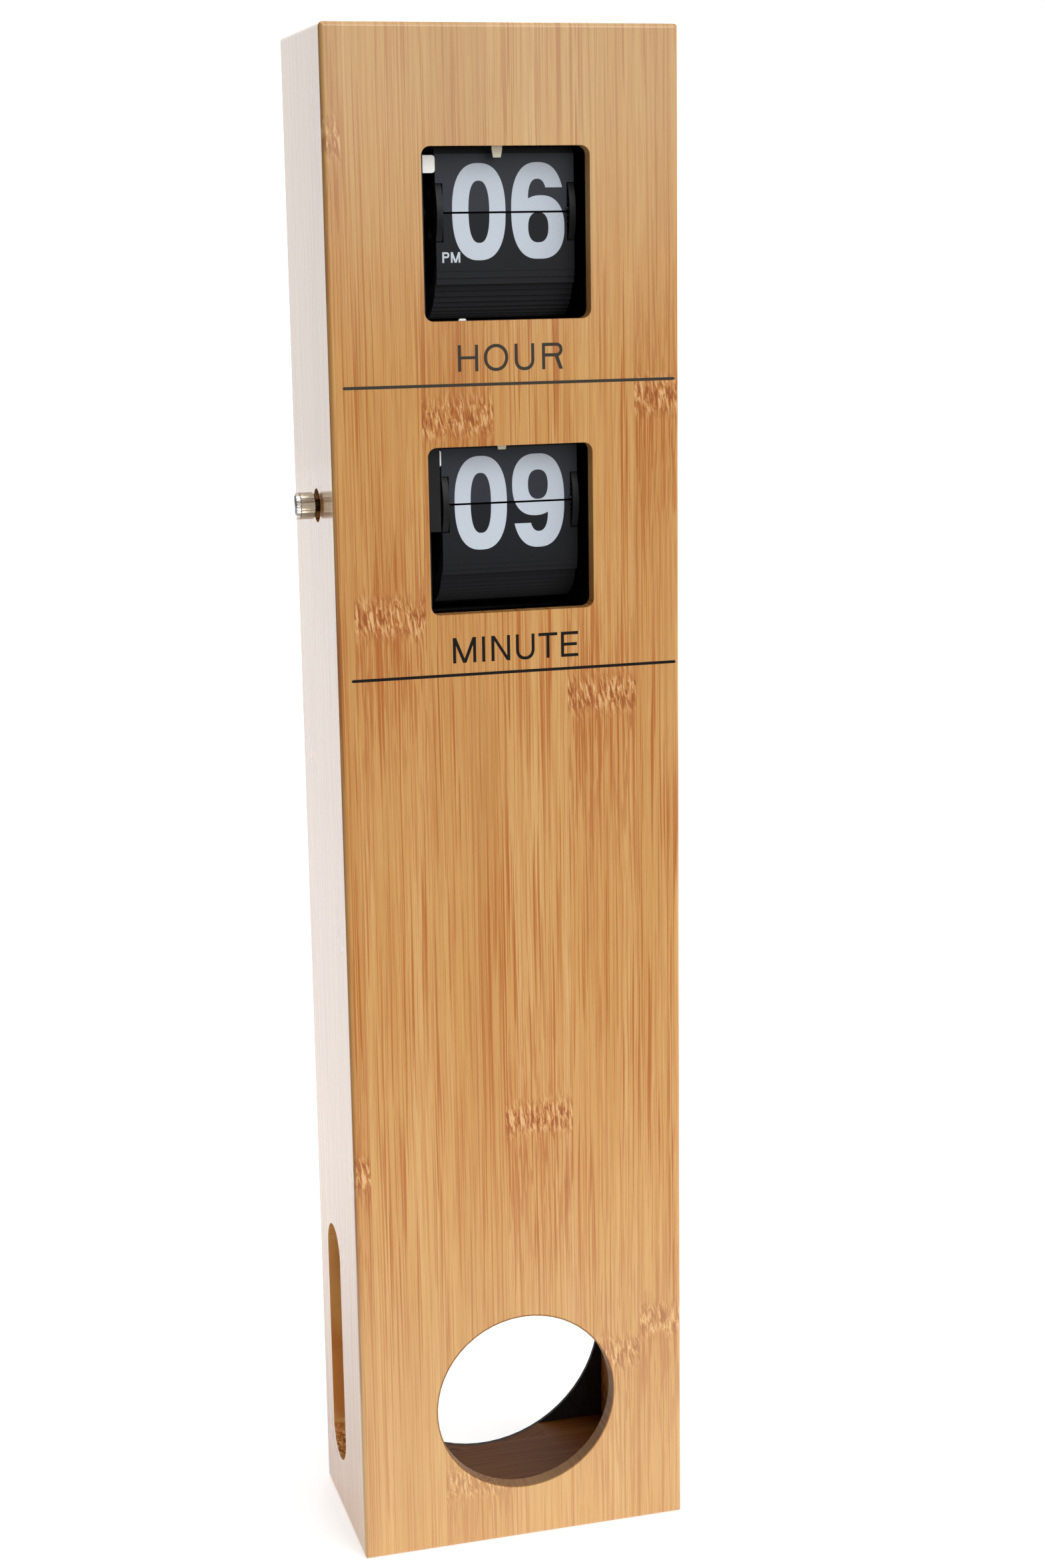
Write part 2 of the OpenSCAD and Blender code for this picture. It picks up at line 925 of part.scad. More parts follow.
module hour_stop() {
    color(white)
        stop_tab(hour_z);
}

// white rest clipped on the rod below the hour drum; its tip shows at the window's lower edge
module hour_rest() {
    y = axis_y + rods[2][0];
    z = hour_z + rods[2][1];
    tip = hour_window_z - window_h / 2 + 0.35;
    color(white)
    difference() {
        union() {
            along_x(drum_dx - 14.6, 2.4)
                union() {
                    translate([y, z])
                        circle(rod_d / 2 + 1.2);
                    translate([y - rod_d / 2 - 1, z])
                        square([0.8, tip - 0.6 - z]);
                }
            along_y(y - rod_d / 2 - 1, 0.8)
                translate([drum_dx - 14.6, tip - 0.6 - e])
                    polygon([[0, 0], [2.4, 0], [2.4, 0.2], [2, 0.6], [0.4, 0.6], [0, 0.2]]);
        }
        along_x(drum_dx - 15, 4)
            translate([y, z])
                circle(rod_d / 2 + 0.02);
    }
}

module minute_stop() {
    color(white)
        stop_tab(minute_z);
}

module set_knob() {
    x1 = -hw - knob_gap;
    x0 = x1 - knob_l;
    color(steel)
    difference() {
        union() {
            intersection() {
                along_x(x0, knob_l)
                    translate(ax_m)
                        polygon([for (i = [0:knob_ridges - 1]) for (j = [0, 1])
                            let (a = (i + j / 2) * 360 / knob_ridges, r = knob_d / 2 - j * 0.3)
                                [r * cos(a), r * sin(a)]]);
                translate([x0, ax_m[0], ax_m[1]])
                    rotate([0, 90, 0])
                        rotate_extrude()
                            polygon([[0, 0], [knob_d / 2 - 0.6, 0], [knob_d / 2 + 0.2, 0.8],
                                     [knob_d / 2 + 0.2, knob_l - 0.8], [knob_d / 2 - 0.6, knob_l], [0, knob_l]]);
            }
            along_x(x1 - e, knob_gap + 4)
                translate(ax_m)
                    circle(1.9);
        }
        along_x(x0 + 1.8, knob_l + knob_gap + 6)
            translate(ax_m)
                circle(bore_r);
    }
}

module at_box_screws() {
    for (sx = [-1, 1])
        for (sz = [-1, 1])
            translate([sx * (box_w / 2 + 3.4), hd - back_in, cell_z + sz * (box_h / 2 - 6)])
                children();
}

// battery box, open to the rear
module battery_box() {
    y0 = cell_y - cell_d / 2 - 0.5;
    color(black)
    difference() {
        union() {
            box(-box_w / 2 - box_t, box_w / 2 + box_t, y0 - box_t, back_y, door_z - box_t, door_z + box_h + box_t);
            for (s = [-1, 1])
                translate([s * (box_w / 2 + 3.4), back_y - 4.5, cell_z])
                    cube([6, 9, box_h - 2], center = true);
        }
        box(-box_w / 2, box_w / 2, y0, back_y + 1, door_z, door_z + box_h);
        at_box_screws()
            screw_seat(9, 2.2, 0.9);
    }
}

module box_screws() {
    color(steel)
        at_box_screws()
            wood_screw(9, 2.2, 0.9);
}

module battery_cell() {
    color([0.25, 0.26, 0.3])
    union() {
        along_x(cell_x0 + 0.3, cell_l - 2.1)
            translate([cell_y, cell_z])
                circle(cell_d / 2);
        along_x(cell_x0, 1)
            translate([cell_y, cell_z])
                circle(cell_d / 2 - 4);
        along_x(cell_x1 - 2, 2)
            translate([cell_y, cell_z])
                circle(4.6);
    }
}

module cell_contacts() {
    xl = -box_w / 2;
    xr = box_w / 2;
    color(steel) {
        box(xr - 0.6, xr, cell_y - 8, cell_y + 8, cell_z - 10, cell_z + 10);
        box(xl, xl + 0.6, cell_y - 9, cell_y + 9, cell_z - 10, cell_z + 10);
        translate([xl + 0.6 - e, cell_y, cell_z])
            rotate([0, 90, 0])
                rotate_extrude()
                    polygon([[7, 0], [8, 0], [4.4, cell_x0 - xl - 0.6], [3.4, cell_x0 - xl - 0.6]]);
    }
}

module battery_door() {
    g = panel_gap;
    color(black)
    difference() {
        union() {
            box(-box_w / 2 + g, box_w / 2 - g, back_y + 0.2, back_y + 0.2 + door_t,
                hinge_z, door_z + box_h - g);
            along_x(-box_w / 2 + g, box_w - 2 * g)
                translate([hinge_y, hinge_z])
                    circle(hinge_r);
            along_x(-box_w / 2 - 2, box_w + 4)
                translate([hinge_y, hinge_z])
                    circle(0.8);
        }
        // finger notch and grip grooves
        along_x(-9, 18)
            translate([back_y + door_t + 1.2, door_z + box_h - 5])
                circle(1.8);
    }
}

module at_drive_screws() {
    for (sx = [-1, 1])
        for (sz = [0, 1])
            translate([sx * (drive_w / 2 - 4.5), hd - back_in, drive_z0 + 4.5 + sz * (drive_h - 9)])
                children();
}

// housing of the pendulum drive, screwed to the back panel
module drive_box() {
    w = 1.6;
    color(black)
    difference() {
        union() {
            difference() {
                box(-drive_w / 2, drive_w / 2, drive_y0, back_y, drive_z0, drive_z0 + drive_h);
                box(-drive_w / 2 + w, drive_w / 2 - w, drive_y0 + w, back_y + 1,
                    drive_z0 + w, drive_z0 + drive_h - w);
            }
            for (sx = [-1, 1])
                for (sz = [0, 1])
                    translate([sx * (drive_w / 2 - 4.5), 0, drive_z0 + 4.5 + sz * (drive_h - 9)])
                        along_y(drive_y0 + w - e, drive_d - w + e)
                            circle(3.2);
            along_y(drive_y0 - 1.2, 4)
                translate([0, hanger_z])
                    circle(3.4);
            for (sx = [-1, 1])
                for (z = [drive_z0 + 7, drive_z0 + drive_h - 8])
                    translate([sx * (board_hw - 3), 0, z])
                        along_y(drive_y0 + w - e, board_y - drive_y0 - w + e)
                            circle(2);
        }
        at_drive_screws()
            screw_seat(9, 2.2, 0.9);
        along_y(drive_y0 - 2, 6)
            translate([0, hanger_z])
                circle(1.22);
    }
}

module drive_screws() {
    color(steel)
        at_drive_screws()
            wood_screw(9, 2.2, 0.9);
}

module drive_coil() {
    color([0.65, 0.35, 0.18])
    along_y(drive_y0 + 1.6, 5)
        translate([0, hanger_z - 24])
            difference() {
                circle(8);
                circle(2.5);
            }
}

module drive_board() {
    color([0.1, 0.3, 0.18])
        box(-board_hw, board_hw, board_y, board_y + 1.2, drive_z0 + 3, drive_z0 + drive_h - 4);
}

module hanger_pin() {
    color(steel)
    union() {
        along_y(strap_y - 1.6, drive_y0 + 3.2 - strap_y)
            translate([0, hanger_z])
                circle(1.2);
        along_y(strap_y - 2.4, 0.9)
            translate([0, hanger_z])
                circle(2.4);
    }
}

module hanger() {
    color(steel)
    along_y(strap_y - 0.7, 1.4)
        difference() {
            union() {
                translate([0, hanger_z])
                    circle(5);
                translate([0, hanger_z - hanger_l])
                    circle(strap_w / 2 + 1);
                translate([-strap_w / 2, hanger_z - hanger_l])
                    square([strap_w, hanger_l]);
                translate([0, hanger_z - 24])
                    circle(7.5);
            }
            translate([0, hanger_z])
                circle(1.2 + run_gap);
            translate([0, hanger_z - hanger_l])
                circle(1.6);
        }
}

module hanger_magnet() {
    color([0.35, 0.35, 0.38])
    along_y(strap_y + 0.7, 2)
        translate([0, hanger_z - 24])
            circle(6);
}

front_panel();
left_panel();
right_panel();
top_board();
floor_board();
shelf();
back_panel();
back_screws();
plate_left();
plate_right();
plate_screws();
tie_rods();
rod_screws();
hour_drum();
hour_leaves();
hour_flip_leaf();
hour_axle();
hour_gear();
hour_catch_bar();
hour_catch();
hour_stop();
hour_rest();
minute_drum();
minute_leaves();
minute_flip_leaf();
minute_axle();
minute_catch_bar();
minute_catch();
minute_stop();
set_knob();
set_pinion();
train_gear_a();
train_gear_b();
train_gear_c();
train_pins();
drive_wheel();
motor();
motor_shaft();
motor_pinion();
motor_posts();
motor_screws();
battery_box();
box_screws();
battery_cell();
cell_contacts();
battery_door();
drive_box();
drive_screws();
drive_coil();
drive_board();
hanger_pin();
hanger();
hanger_magnet();
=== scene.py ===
import json
import math

import bmesh
import bpy
from mathutils import Matrix, Vector, geometry


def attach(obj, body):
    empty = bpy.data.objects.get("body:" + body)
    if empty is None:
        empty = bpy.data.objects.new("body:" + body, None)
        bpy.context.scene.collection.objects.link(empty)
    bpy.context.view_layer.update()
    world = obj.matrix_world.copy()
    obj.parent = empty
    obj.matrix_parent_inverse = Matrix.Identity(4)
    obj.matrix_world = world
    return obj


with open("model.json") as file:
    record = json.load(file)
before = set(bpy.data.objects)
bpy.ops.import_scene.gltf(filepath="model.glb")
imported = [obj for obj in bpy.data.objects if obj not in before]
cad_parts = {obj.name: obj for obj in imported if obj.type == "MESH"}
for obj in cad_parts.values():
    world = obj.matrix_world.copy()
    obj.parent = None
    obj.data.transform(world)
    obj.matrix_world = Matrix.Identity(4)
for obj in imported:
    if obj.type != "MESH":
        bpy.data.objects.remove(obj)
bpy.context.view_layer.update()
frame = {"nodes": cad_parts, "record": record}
NODES = frame["nodes"]
MM = 0.001

# ---------------------------------------------------------------- camera and light levels
# The camera sits to the left of the clock, level with its upper window, and looks down a little.
CAMERA_AT = (-0.2062, -0.7787, 0.4255)
YAW, PITCH, ROLL = math.radians(15.61), math.radians(12.19), math.radians(-0.9)
LENS = 58.0
FRONT_LIGHT, BACK_LIGHT, TOP_LIGHT, ROOM_LIGHT = 1.77, 1.5, 1.2, 0.12
KEY_POWER = 10

# ---------------------------------------------------------------- places, in mm
STRIP = 22.5                          # width of a bamboo strip
FRONT_EDGE = 5.4 - STRIP - 55         # left edge of the front board's first strip
SIDE_EDGE, FLAT_EDGE = -36.0, -30.0   # the same on the side boards and on the lying boards
# knuckles, as (strip, place along it)
FRONT_KNOTS = [(0, 134), (0, 455), (1, 312.5), (2, 372.5), (2, 22.5), (3, 147), (4, 285), (4, 61),
               (5, 377.6), (5, 71)]
SIDE_KNOTS = [(0, 210), (0, 470), (1, 95), (1, 350), (2, 260), (2, 20)]
FLAT_KNOTS = [(1, 60), (2, -15)]
BAY = (0.7, 48.4, 30.2)               # the round opening's centre, x and z, and its radius
KNOB_END, KNOB_NECK = -62.4, -55.9    # x of the knob's outer end and of its neck's start
KNOB_AXIS = (-5.5, 345.4)             # y and z
PRINT = (-31.03, 0.04)                # print on the front board: its face's y and its thickness
DIGITS = (-21.08, 0.03)               # the same on the leaves
HOUR_SPLIT, MINUTE_SPLIT = 433.3, 345.4   # z of the line between the upper and the lower leaves
SPLIT_GAP = 0.3                       # from that line to the print


def make_camera():
    forward0 = Vector((math.sin(YAW), math.cos(YAW), 0))
    right0 = Vector((math.cos(YAW), -math.sin(YAW), 0))
    up0 = Vector((0, 0, 1))
    forward = math.cos(PITCH) * forward0 - math.sin(PITCH) * up0
    up = math.sin(PITCH) * forward0 + math.cos(PITCH) * up0
    right = math.cos(ROLL) * right0 + math.sin(ROLL) * up
    up = -math.sin(ROLL) * right0 + math.cos(ROLL) * up
    data = bpy.data.cameras.new("camera")
    data.lens = LENS
    data.sensor_width = 36
    data.clip_start = 0.01
    cam = bpy.data.objects.new("camera", data)
    turn = Matrix((right, up, -forward)).transposed().to_4x4()
    cam.matrix_world = Matrix.Translation(CAMERA_AT) @ turn
    bpy.context.scene.collection.objects.link(cam)
    bpy.context.scene.camera = cam


# ---------------------------------------------------------------- node helpers
class Net:
    """Short ways to add nodes to a node tree."""

    def __init__(self, tree, kind):
        self.t = tree
        tc = tree.nodes.new("ShaderNodeTexCoord")
        sep = tree.nodes.new("ShaderNodeSeparateXYZ")
        tree.links.new(tc.outputs[kind], sep.inputs[0])
        self.obj = tc.outputs[kind]
        self.xyz = sep.outputs

    def put(self, socket, value):
        if hasattr(value, "is_output"):
            self.t.links.new(value, socket)
        else:
            socket.default_value = value

    def math(self, op, a, b=0.0, c=0.0):
        n = self.t.nodes.new("ShaderNodeMath")
        n.operation = op
        for s, v in zip(n.inputs, (a, b, c)):
            self.put(s, v)
        return n.outputs[0]

    def mul(self, a, b):
        return self.math("MULTIPLY", a, b)

    def vec(self, x, y, z):
        n = self.t.nodes.new("ShaderNodeCombineXYZ")
        for s, v in zip(n.inputs, (x, y, z)):
            self.put(s, v)
        return n.outputs[0]

    def scaled(self, x, y, z):
        """The object's coordinates, each times its factor."""
        return self.vec(*[self.mul(c, f) for c, f in zip(self.xyz, (x, y, z))])

    def noise(self, vector, scale=1.0, detail=2.0, rough=0.5, dist=0.0):
        n = self.t.nodes.new("ShaderNodeTexNoise")
        self.put(n.inputs["Vector"], vector)
        n.inputs["Scale"].default_value = scale
        n.inputs["Detail"].default_value = detail
        n.inputs["Roughness"].default_value = rough
        n.inputs["Distortion"].default_value = dist
        return n.outputs["Fac"]

    def white(self, w):
        n = self.t.nodes.new("ShaderNodeTexWhiteNoise")
        n.noise_dimensions = "1D"
        self.put(n.inputs["W"], w)
        return n.outputs["Value"]

    def remap(self, v, a, b, c=0.0, d=1.0, smooth=False):
        n = self.t.nodes.new("ShaderNodeMapRange")
        n.interpolation_type = "SMOOTHSTEP" if smooth else "LINEAR"
        self.put(n.inputs["Value"], v)
        for key, val in zip(("From Min", "From Max", "To Min", "To Max"), (a, b, c, d)):
            self.put(n.inputs[key], val)
        return n.outputs["Result"]

    def mix(self, f, a, b, mode="MIX"):
        n = self.t.nodes.new("ShaderNodeMix")
        n.data_type = "RGBA"
        n.blend_type = mode
        self.put(n.inputs["Factor"], f)
        self.put(n.inputs["A"], (*a, 1) if isinstance(a, tuple) else a)
        self.put(n.inputs["B"], (*b, 1) if isinstance(b, tuple) else b)
        return n.outputs["Result"]

    def ramp(self, f, stops):
        n = self.t.nodes.new("ShaderNodeValToRGB")
        e = n.color_ramp.elements
        while len(e) < len(stops):
            e.new(0.5)
        for el, (p, c) in zip(e, stops):
            el.position = p
            el.color = (*c, 1)
        self.put(n.inputs["Fac"], f)
        return n.outputs["Color"]


class Mat(Net):
    """A node material."""

    SOCKETS = {"color": "Base Color", "metal": "Metallic", "rough": "Roughness", "coat": "Coat Weight",
               "coat_rough": "Coat Roughness", "spec": "Specular IOR Level"}

    def __init__(self, name):
        self.m = bpy.data.materials.new(name)
        self.m.use_nodes = True
        super().__init__(self.m.node_tree, "Object")
        self.bsdf = self.t.nodes["Principled BSDF"]

    def bump(self, height, strength, distance):
        n = self.t.nodes.new("ShaderNodeBump")
        n.inputs["Strength"].default_value = strength
        n.inputs["Distance"].default_value = distance
        self.put(n.inputs["Height"], height)
        self.t.links.new(n.outputs[0], self.bsdf.inputs["Normal"])

    def set(self, **values):
        for key, v in values.items():
            s = self.bsdf.inputs[self.SOCKETS[key]]
            self.put(s, (*v, 1) if isinstance(v, tuple) and len(v) == 3 else v)

    def glow(self, strength):
        self.bsdf.inputs["Emission Color"].default_value = (1, 1, 1, 1)
        self.put(self.bsdf.inputs["Emission Strength"], strength)


def srgb(r, g, b):
    def f(c):
        c /= 255
        return c / 12.92 if c <= 0.04045 else ((c + 0.055) / 1.055) ** 2.4
    return (f(r), f(g), f(b))


# ---------------------------------------------------------------- bamboo
WOOD_TONES = [(0.2, srgb(195, 141, 77)), (0.45, srgb(205, 153, 87)),
              (0.62, srgb(211, 162, 97)), (0.85, srgb(216, 171, 110))]
FIBRE_WARM, FIBRE_PALE, FIBRE_BROWN = srgb(200, 138, 68), srgb(224, 180, 116), srgb(184, 116, 52)
BUNDLE_WIDE, BUNDLE_THIN, DASH_BROWN = srgb(174, 96, 28), srgb(178, 102, 34), srgb(172, 94, 32)
BEARD_BROWN, KNUCKLE_BAND = srgb(186, 112, 50), srgb(192, 120, 52)
KNUCKLE_DARK, KNUCKLE_LIGHT, KNUCKLE_PIT = srgb(152, 78, 28), srgb(236, 192, 134), srgb(96, 50, 22)
# the second colour here is painted light: the paler tone painted towards the front board's ends
GLUE_BROWN, PAINTED_LIGHT_PALE = srgb(168, 104, 50), srgb(206, 176, 126)
# painted shade: the darkening painted on the wall of the front board's round opening
WALL_PAINTED_SHADE = (0.42, 0.36, 0.30)


def knuckles(m, u, v, strip, knots, seed):
    """Masks of the knuckles (core) and of the stretch round them with more dashes (beard)."""
    core = beard = None
    for k, (number, place) in enumerate(knots):
        here = m.math("COMPARE", strip, float(number), 0.5)
        wave = m.noise(m.vec(m.mul(u, 0.35), 0, k * 3.7 + seed), 1, 2, 0.6)
        wave = m.mul(m.math("SUBTRACT", wave, 0.5), 7.0)
        d = m.math("SUBTRACT", m.math("ADD", v, wave), float(place))
        c = m.mul(m.remap(m.math("ABSOLUTE", d), 9.0, 1.5, smooth=True), here)
        b = m.mul(m.remap(m.math("ABSOLUTE", m.math("ADD", d, 10.0)), 52.0, 2.0), here)
        core = c if core is None else m.math("MAXIMUM", core, c)
        beard = b if beard is None else m.math("MAXIMUM", beard, b)
    return core, beard


def bamboo(name, across, along, edge0, knots, dark=1.0, seed=0.0, coat=1.0, shade=1.0, spec=0.15,
           face=None):
    """Laminated bamboo. across and along are the axes (0, 1, 2); face is the round opening's place."""
    m = Mat(name)
    third = 3 - across - along
    u = m.mul(m.xyz[across], 1000)
    v = m.mul(m.xyz[along], 1000)
    w = m.mul(m.xyz[third], 1000)
    su = m.math("DIVIDE", m.math("SUBTRACT", u, edge0), STRIP)
    strip = m.math("FLOOR", su)
    inside = m.math("SUBTRACT", su, strip)
    r1 = m.white(m.math("ADD", strip, 11.3 + seed))
    r2 = m.white(m.math("ADD", strip, 47.9 + seed))
    vs = m.math("MULTIPLY_ADD", r1, 900, v)
    # slow sideways drift, so that the fibres aren't ruled lines
    slow = m.noise(m.vec(m.mul(u, 0.03), m.mul(vs, 0.006), 0))
    drift = m.mul(m.math("SUBTRACT", slow, 0.5), 1.6)
    us = m.math("ADD", m.math("ADD", u, drift), m.mul(r2, 300))

    def fibre(fu, fv, detail=2.0, rough=0.5, k=0.0):
        place = m.vec(m.mul(us, fu), m.mul(vs, fv), m.math("MULTIPLY_ADD", w, 0.03, k))
        return m.noise(place, 1.0, detail, rough)

    broad = fibre(0.10, 0.0045, k=3.1)
    tone = fibre(0.45, 0.009, rough=0.55, k=7.7)
    fine = fibre(3.2, 0.018, rough=0.6, k=1.3)
    lines = fibre(1.25, 0.011, 1.0, k=5.9)
    thin = fibre(2.1, 0.015, 1.0, k=21.4)
    gate = fibre(0.30, 0.012, k=15.2)
    dashes = fibre(2.2, 0.060, 1.0, k=9.4)
    core, beard = knuckles(m, u, v, strip, knots, seed)

    strip_tone = m.math("MULTIPLY_ADD", m.math("SUBTRACT", r1, 0.5), 0.30, 0.5)
    value = m.math("MULTIPLY_ADD", m.math("SUBTRACT", broad, 0.5), 1.2, strip_tone)
    base = m.ramp(value, WOOD_TONES)
    base = m.mix(m.remap(tone, 0.38, 0.68, 0.0, 0.5), base, FIBRE_WARM)
    base = m.mix(m.remap(fine, 0.50, 0.36, 0.0, 0.3), base, FIBRE_PALE)
    # thin reddish fibre bundles, crowded in some bands and rare in others
    crowd = m.remap(gate, 0.36, 0.60, 0.35, 1.0)
    base = m.mix(m.mul(m.remap(lines, 0.57, 0.64, 0.0, 0.9, smooth=True), crowd), base, BUNDLE_WIDE)
    base = m.mix(m.mul(m.remap(thin, 0.56, 0.64, 0.0, 0.8, smooth=True), crowd), base, BUNDLE_THIN)
    base = m.mix(m.remap(fine, 0.55, 0.68, 0.0, 0.3, smooth=True), base, FIBRE_BROWN)
    # short dashes thicken towards a knuckle
    dash = m.remap(dashes, 0.50, 0.60, 0.0, 1.0, smooth=True)
    base = m.mix(m.mul(dash, m.math("MULTIPLY_ADD", beard, 0.6, 0.16)), base, DASH_BROWN)
    base = m.mix(m.mul(beard, 0.16), base, BEARD_BROWN)
    # the knuckle itself: slanting short strokes, dark and light, in a darker band
    mu = m.math("MULTIPLY_ADD", v, 0.12, u)
    mott = m.vec(m.mul(mu, 1.15), m.mul(v, 0.20), m.math("ADD", w, seed))
    mott = m.noise(mott, 1.0, 3.0, 0.6, 0.6)
    base = m.mix(m.mul(core, 0.4), base, KNUCKLE_BAND)
    base = m.mix(m.mul(core, m.remap(mott, 0.51, 0.59, 0.0, 0.9, smooth=True)), base, KNUCKLE_DARK)
    base = m.mix(m.mul(core, m.remap(mott, 0.49, 0.40, 0.0, 0.75, smooth=True)), base, KNUCKLE_LIGHT)
    pit = m.noise(m.vec(m.mul(u, 1.5), m.mul(v, 0.5), 4.4 + seed), 1.0, 0.0, 0.0)
    base = m.mix(m.mul(core, m.remap(pit, 0.78, 0.84, 0.0, 0.7)), base, KNUCKLE_PIT)
    # glue line between strips
    glue = m.math("MINIMUM", inside, m.math("SUBTRACT", 1.0, inside))
    base = m.mix(m.remap(glue, 0.010, 0.0, 0.0, 0.4), base, GLUE_BROWN)
    if dark != 1.0:
        base = m.mix(1.0, base, (dark, dark * shade, dark * shade * shade), "MULTIPLY")
    if face:
        # the board is painted paler towards its ends (a painted sheen at the top, painted floor light at the
        # bottom), and the wall of the round opening is left bare of coat and painted darker, as painted shade
        cx, cz, r = face
        painted_light_ends = m.math("MAXIMUM", m.remap(v, 150, 20, 0.0, 0.34, smooth=True),
                      m.remap(v, 380, 480, 0.0, 0.34, smooth=True))
        base = m.mix(painted_light_ends, base, PAINTED_LIGHT_PALE)
        du = m.math("POWER", m.math("SUBTRACT", u, cx), 2.0)
        dv = m.math("POWER", m.math("SUBTRACT", v, cz), 2.0)
        # painted shade on the opening's wall, which also loses its coat
        wall = m.remap(m.math("SQRT", m.math("ADD", du, dv)), r + 0.5, r + 0.3)
        base = m.mix(wall, base, m.mix(1.0, base, WALL_PAINTED_SHADE, "MULTIPLY"))
        coat = m.math("MULTIPLY_ADD", wall, -coat, coat)
    m.set(color=base, rough=0.5, coat=coat, coat_rough=0.12, spec=spec)
    m.bsdf.inputs["Coat IOR"].default_value = 1.5
    m.bump(m.math("ADD", fine, m.mul(m.mul(core, mott), 1.2)), 0.10, 0.00012)
    return m.m


# ---------------------------------------------------------------- other materials
def plastic(name, color, rough=0.45, coat=0.0, vary=0.12, spec=0.5, glow=0.0):
    """Moulded plastic; glow is painted light, an emission that makes the part glow though it is no lamp."""
    m = Mat(name)
    grain = m.noise(m.obj, 1 / 0.0003, 3.0, 0.6)
    lighter = tuple(min(1.0, v * (1 + vary) + 0.002) for v in color)
    c = m.mix(m.remap(m.noise(m.obj, 60, 2.0, 0.5), 0.35, 0.65), color, lighter)
    r = m.remap(m.noise(m.obj, 220, 2.0, 0.5), 0.3, 0.7, rough - 0.05, rough + 0.06)
    m.set(color=c, rough=r, coat=coat, coat_rough=0.1, spec=spec)
    m.bump(grain, 0.1, 0.00005)
    # painted glow: emission on a part that is no lamp
    if glow:
        m.glow(glow)
    return m.m


def metal(name, color, rough, along=0):
    """Metal with fine lines along one axis."""
    m = Mat(name)
    scale = [1000.0, 1000.0, 1000.0]
    scale[along] = 20.0
    n = m.noise(m.scaled(*scale), 1.0, 3.0, 0.6)
    spot = m.noise(m.obj, 300, 3.0, 0.6)
    c = m.mix(m.remap(spot, 0.4, 0.7), color, tuple(v * 0.85 for v in color))
    m.set(color=c, metal=1.0, rough=m.remap(n, 0.3, 0.7, max(0.05, rough - 0.1), rough + 0.1))
    m.bump(n, 0.06, 0.00003)
    return m.m


def knob_material():
    """Nickel with a smooth, rounded outer end painted near white as a painted highlight; the ridged part is a
    little darker and yellower.
    """
    m = Mat("knob_nickel")
    x = m.mul(m.xyz[0], 1000)
    n = m.noise(m.scaled(900, 900, 900), 1.0, 3.0, 0.6)
    # painted highlight: near the outer end the colour is painted near white; the same mask shapes the dome
    end = m.remap(x, KNOB_END + 2.0, KNOB_END + 1.5, smooth=True)
    c = m.mix(end, (0.66, 0.60, 0.49), (0.90, 0.88, 0.84))
    # painted shade: from the neck's start inwards the knob is painted dark brown
    c = m.mix(m.remap(x, KNOB_NECK - 0.05, KNOB_NECK + 0.05), c, (0.10, 0.08, 0.06))
    m.set(color=c, metal=1.0, rough=m.remap(n, 0.3, 0.7, 0.12, 0.24))
    # the dome, as a lean of the surface away from the axis near the outer end
    dy = m.math("SUBTRACT", m.mul(m.xyz[1], 1000), KNOB_AXIS[0])
    dz = m.math("SUBTRACT", m.mul(m.xyz[2], 1000), KNOB_AXIS[1])
    r = m.math("SQRT", m.math("ADD", m.math("POWER", dy, 2.0), m.math("POWER", dz, 2.0)))
    dome = m.math("SUBTRACT", 1.0, m.remap(r, 1.8, 4.4, 0.0, 1.0, smooth=True))
    m.bump(m.mul(dome, end), 0.5, 0.0012)
    return m.m


def leaf_material(name, tone, spec):
    """Satin card with a fine tooth."""
    m = Mat(name)
    n = m.noise(m.scaled(1800, 1800, 1800), 1.0, 3.0, 0.6)
    big = m.noise(m.obj, 45, 2.0, 0.5)
    c = m.mix(m.remap(big, 0.35, 0.65), tone, tuple(v * 1.2 for v in tone))
    m.set(color=c, rough=m.remap(n, 0.35, 0.65, 0.36, 0.46), spec=spec)
    m.bump(n, 0.08, 0.00003)
    return m.m


def ink(name, color, rough, spec=0.3):
    m = Mat(name)
    n = m.noise(m.obj, 2500, 3.0, 0.6)
    c = m.mix(m.remap(n, 0.35, 0.7), color, tuple(v * 0.95 for v in color))
    m.set(color=c, rough=rough, spec=spec)
    m.bump(n, 0.02, 0.00002)
    return m.m


def board_material():
    """Black-lacquered fibreboard of the back panel."""
    m = Mat("black_board")
    n = m.noise(m.scaled(900, 900, 300), 1.0, 4.0, 0.65)
    c = m.mix(m.remap(n, 0.4, 0.7), (0.012, 0.012, 0.014), (0.022, 0.021, 0.023))
    m.set(color=c, rough=m.remap(n, 0.3, 0.7, 0.5, 0.62), spec=0.15)
    m.bump(n, 0.15, 0.0001)
    return m.m


def cell_material():
    """Plain cell jacket: dark sleeve with a metal-toned end band."""
    m = Mat("cell_jacket")
    band = m.remap(m.mul(m.xyz[0], 1000), 17.0, 17.4)
    n = m.noise(m.obj, 400, 3.0, 0.6)
    c = m.mix(band, (0.03, 0.034, 0.045), (0.42, 0.30, 0.12))
    c = m.mix(m.mul(n, 0.25), c, (0.1, 0.1, 0.1))
    m.set(color=c, rough=0.3, coat=0.3, coat_rough=0.1)
    m.bump(n, 0.03, 0.00005)
    return m.m


def coil_material():
    """Copper wire in turns 1/9 mm wide."""
    m = Mat("copper_winding")
    s = m.math("SINE", m.mul(m.mul(m.xyz[1], 9000), 6.2832))
    c = m.mix(m.remap(s, -1, 1), (0.35, 0.12, 0.04), (0.65, 0.28, 0.1))
    m.set(color=c, metal=0.8, rough=0.35)
    m.bump(s, 0.3, 0.0001)
    return m.m


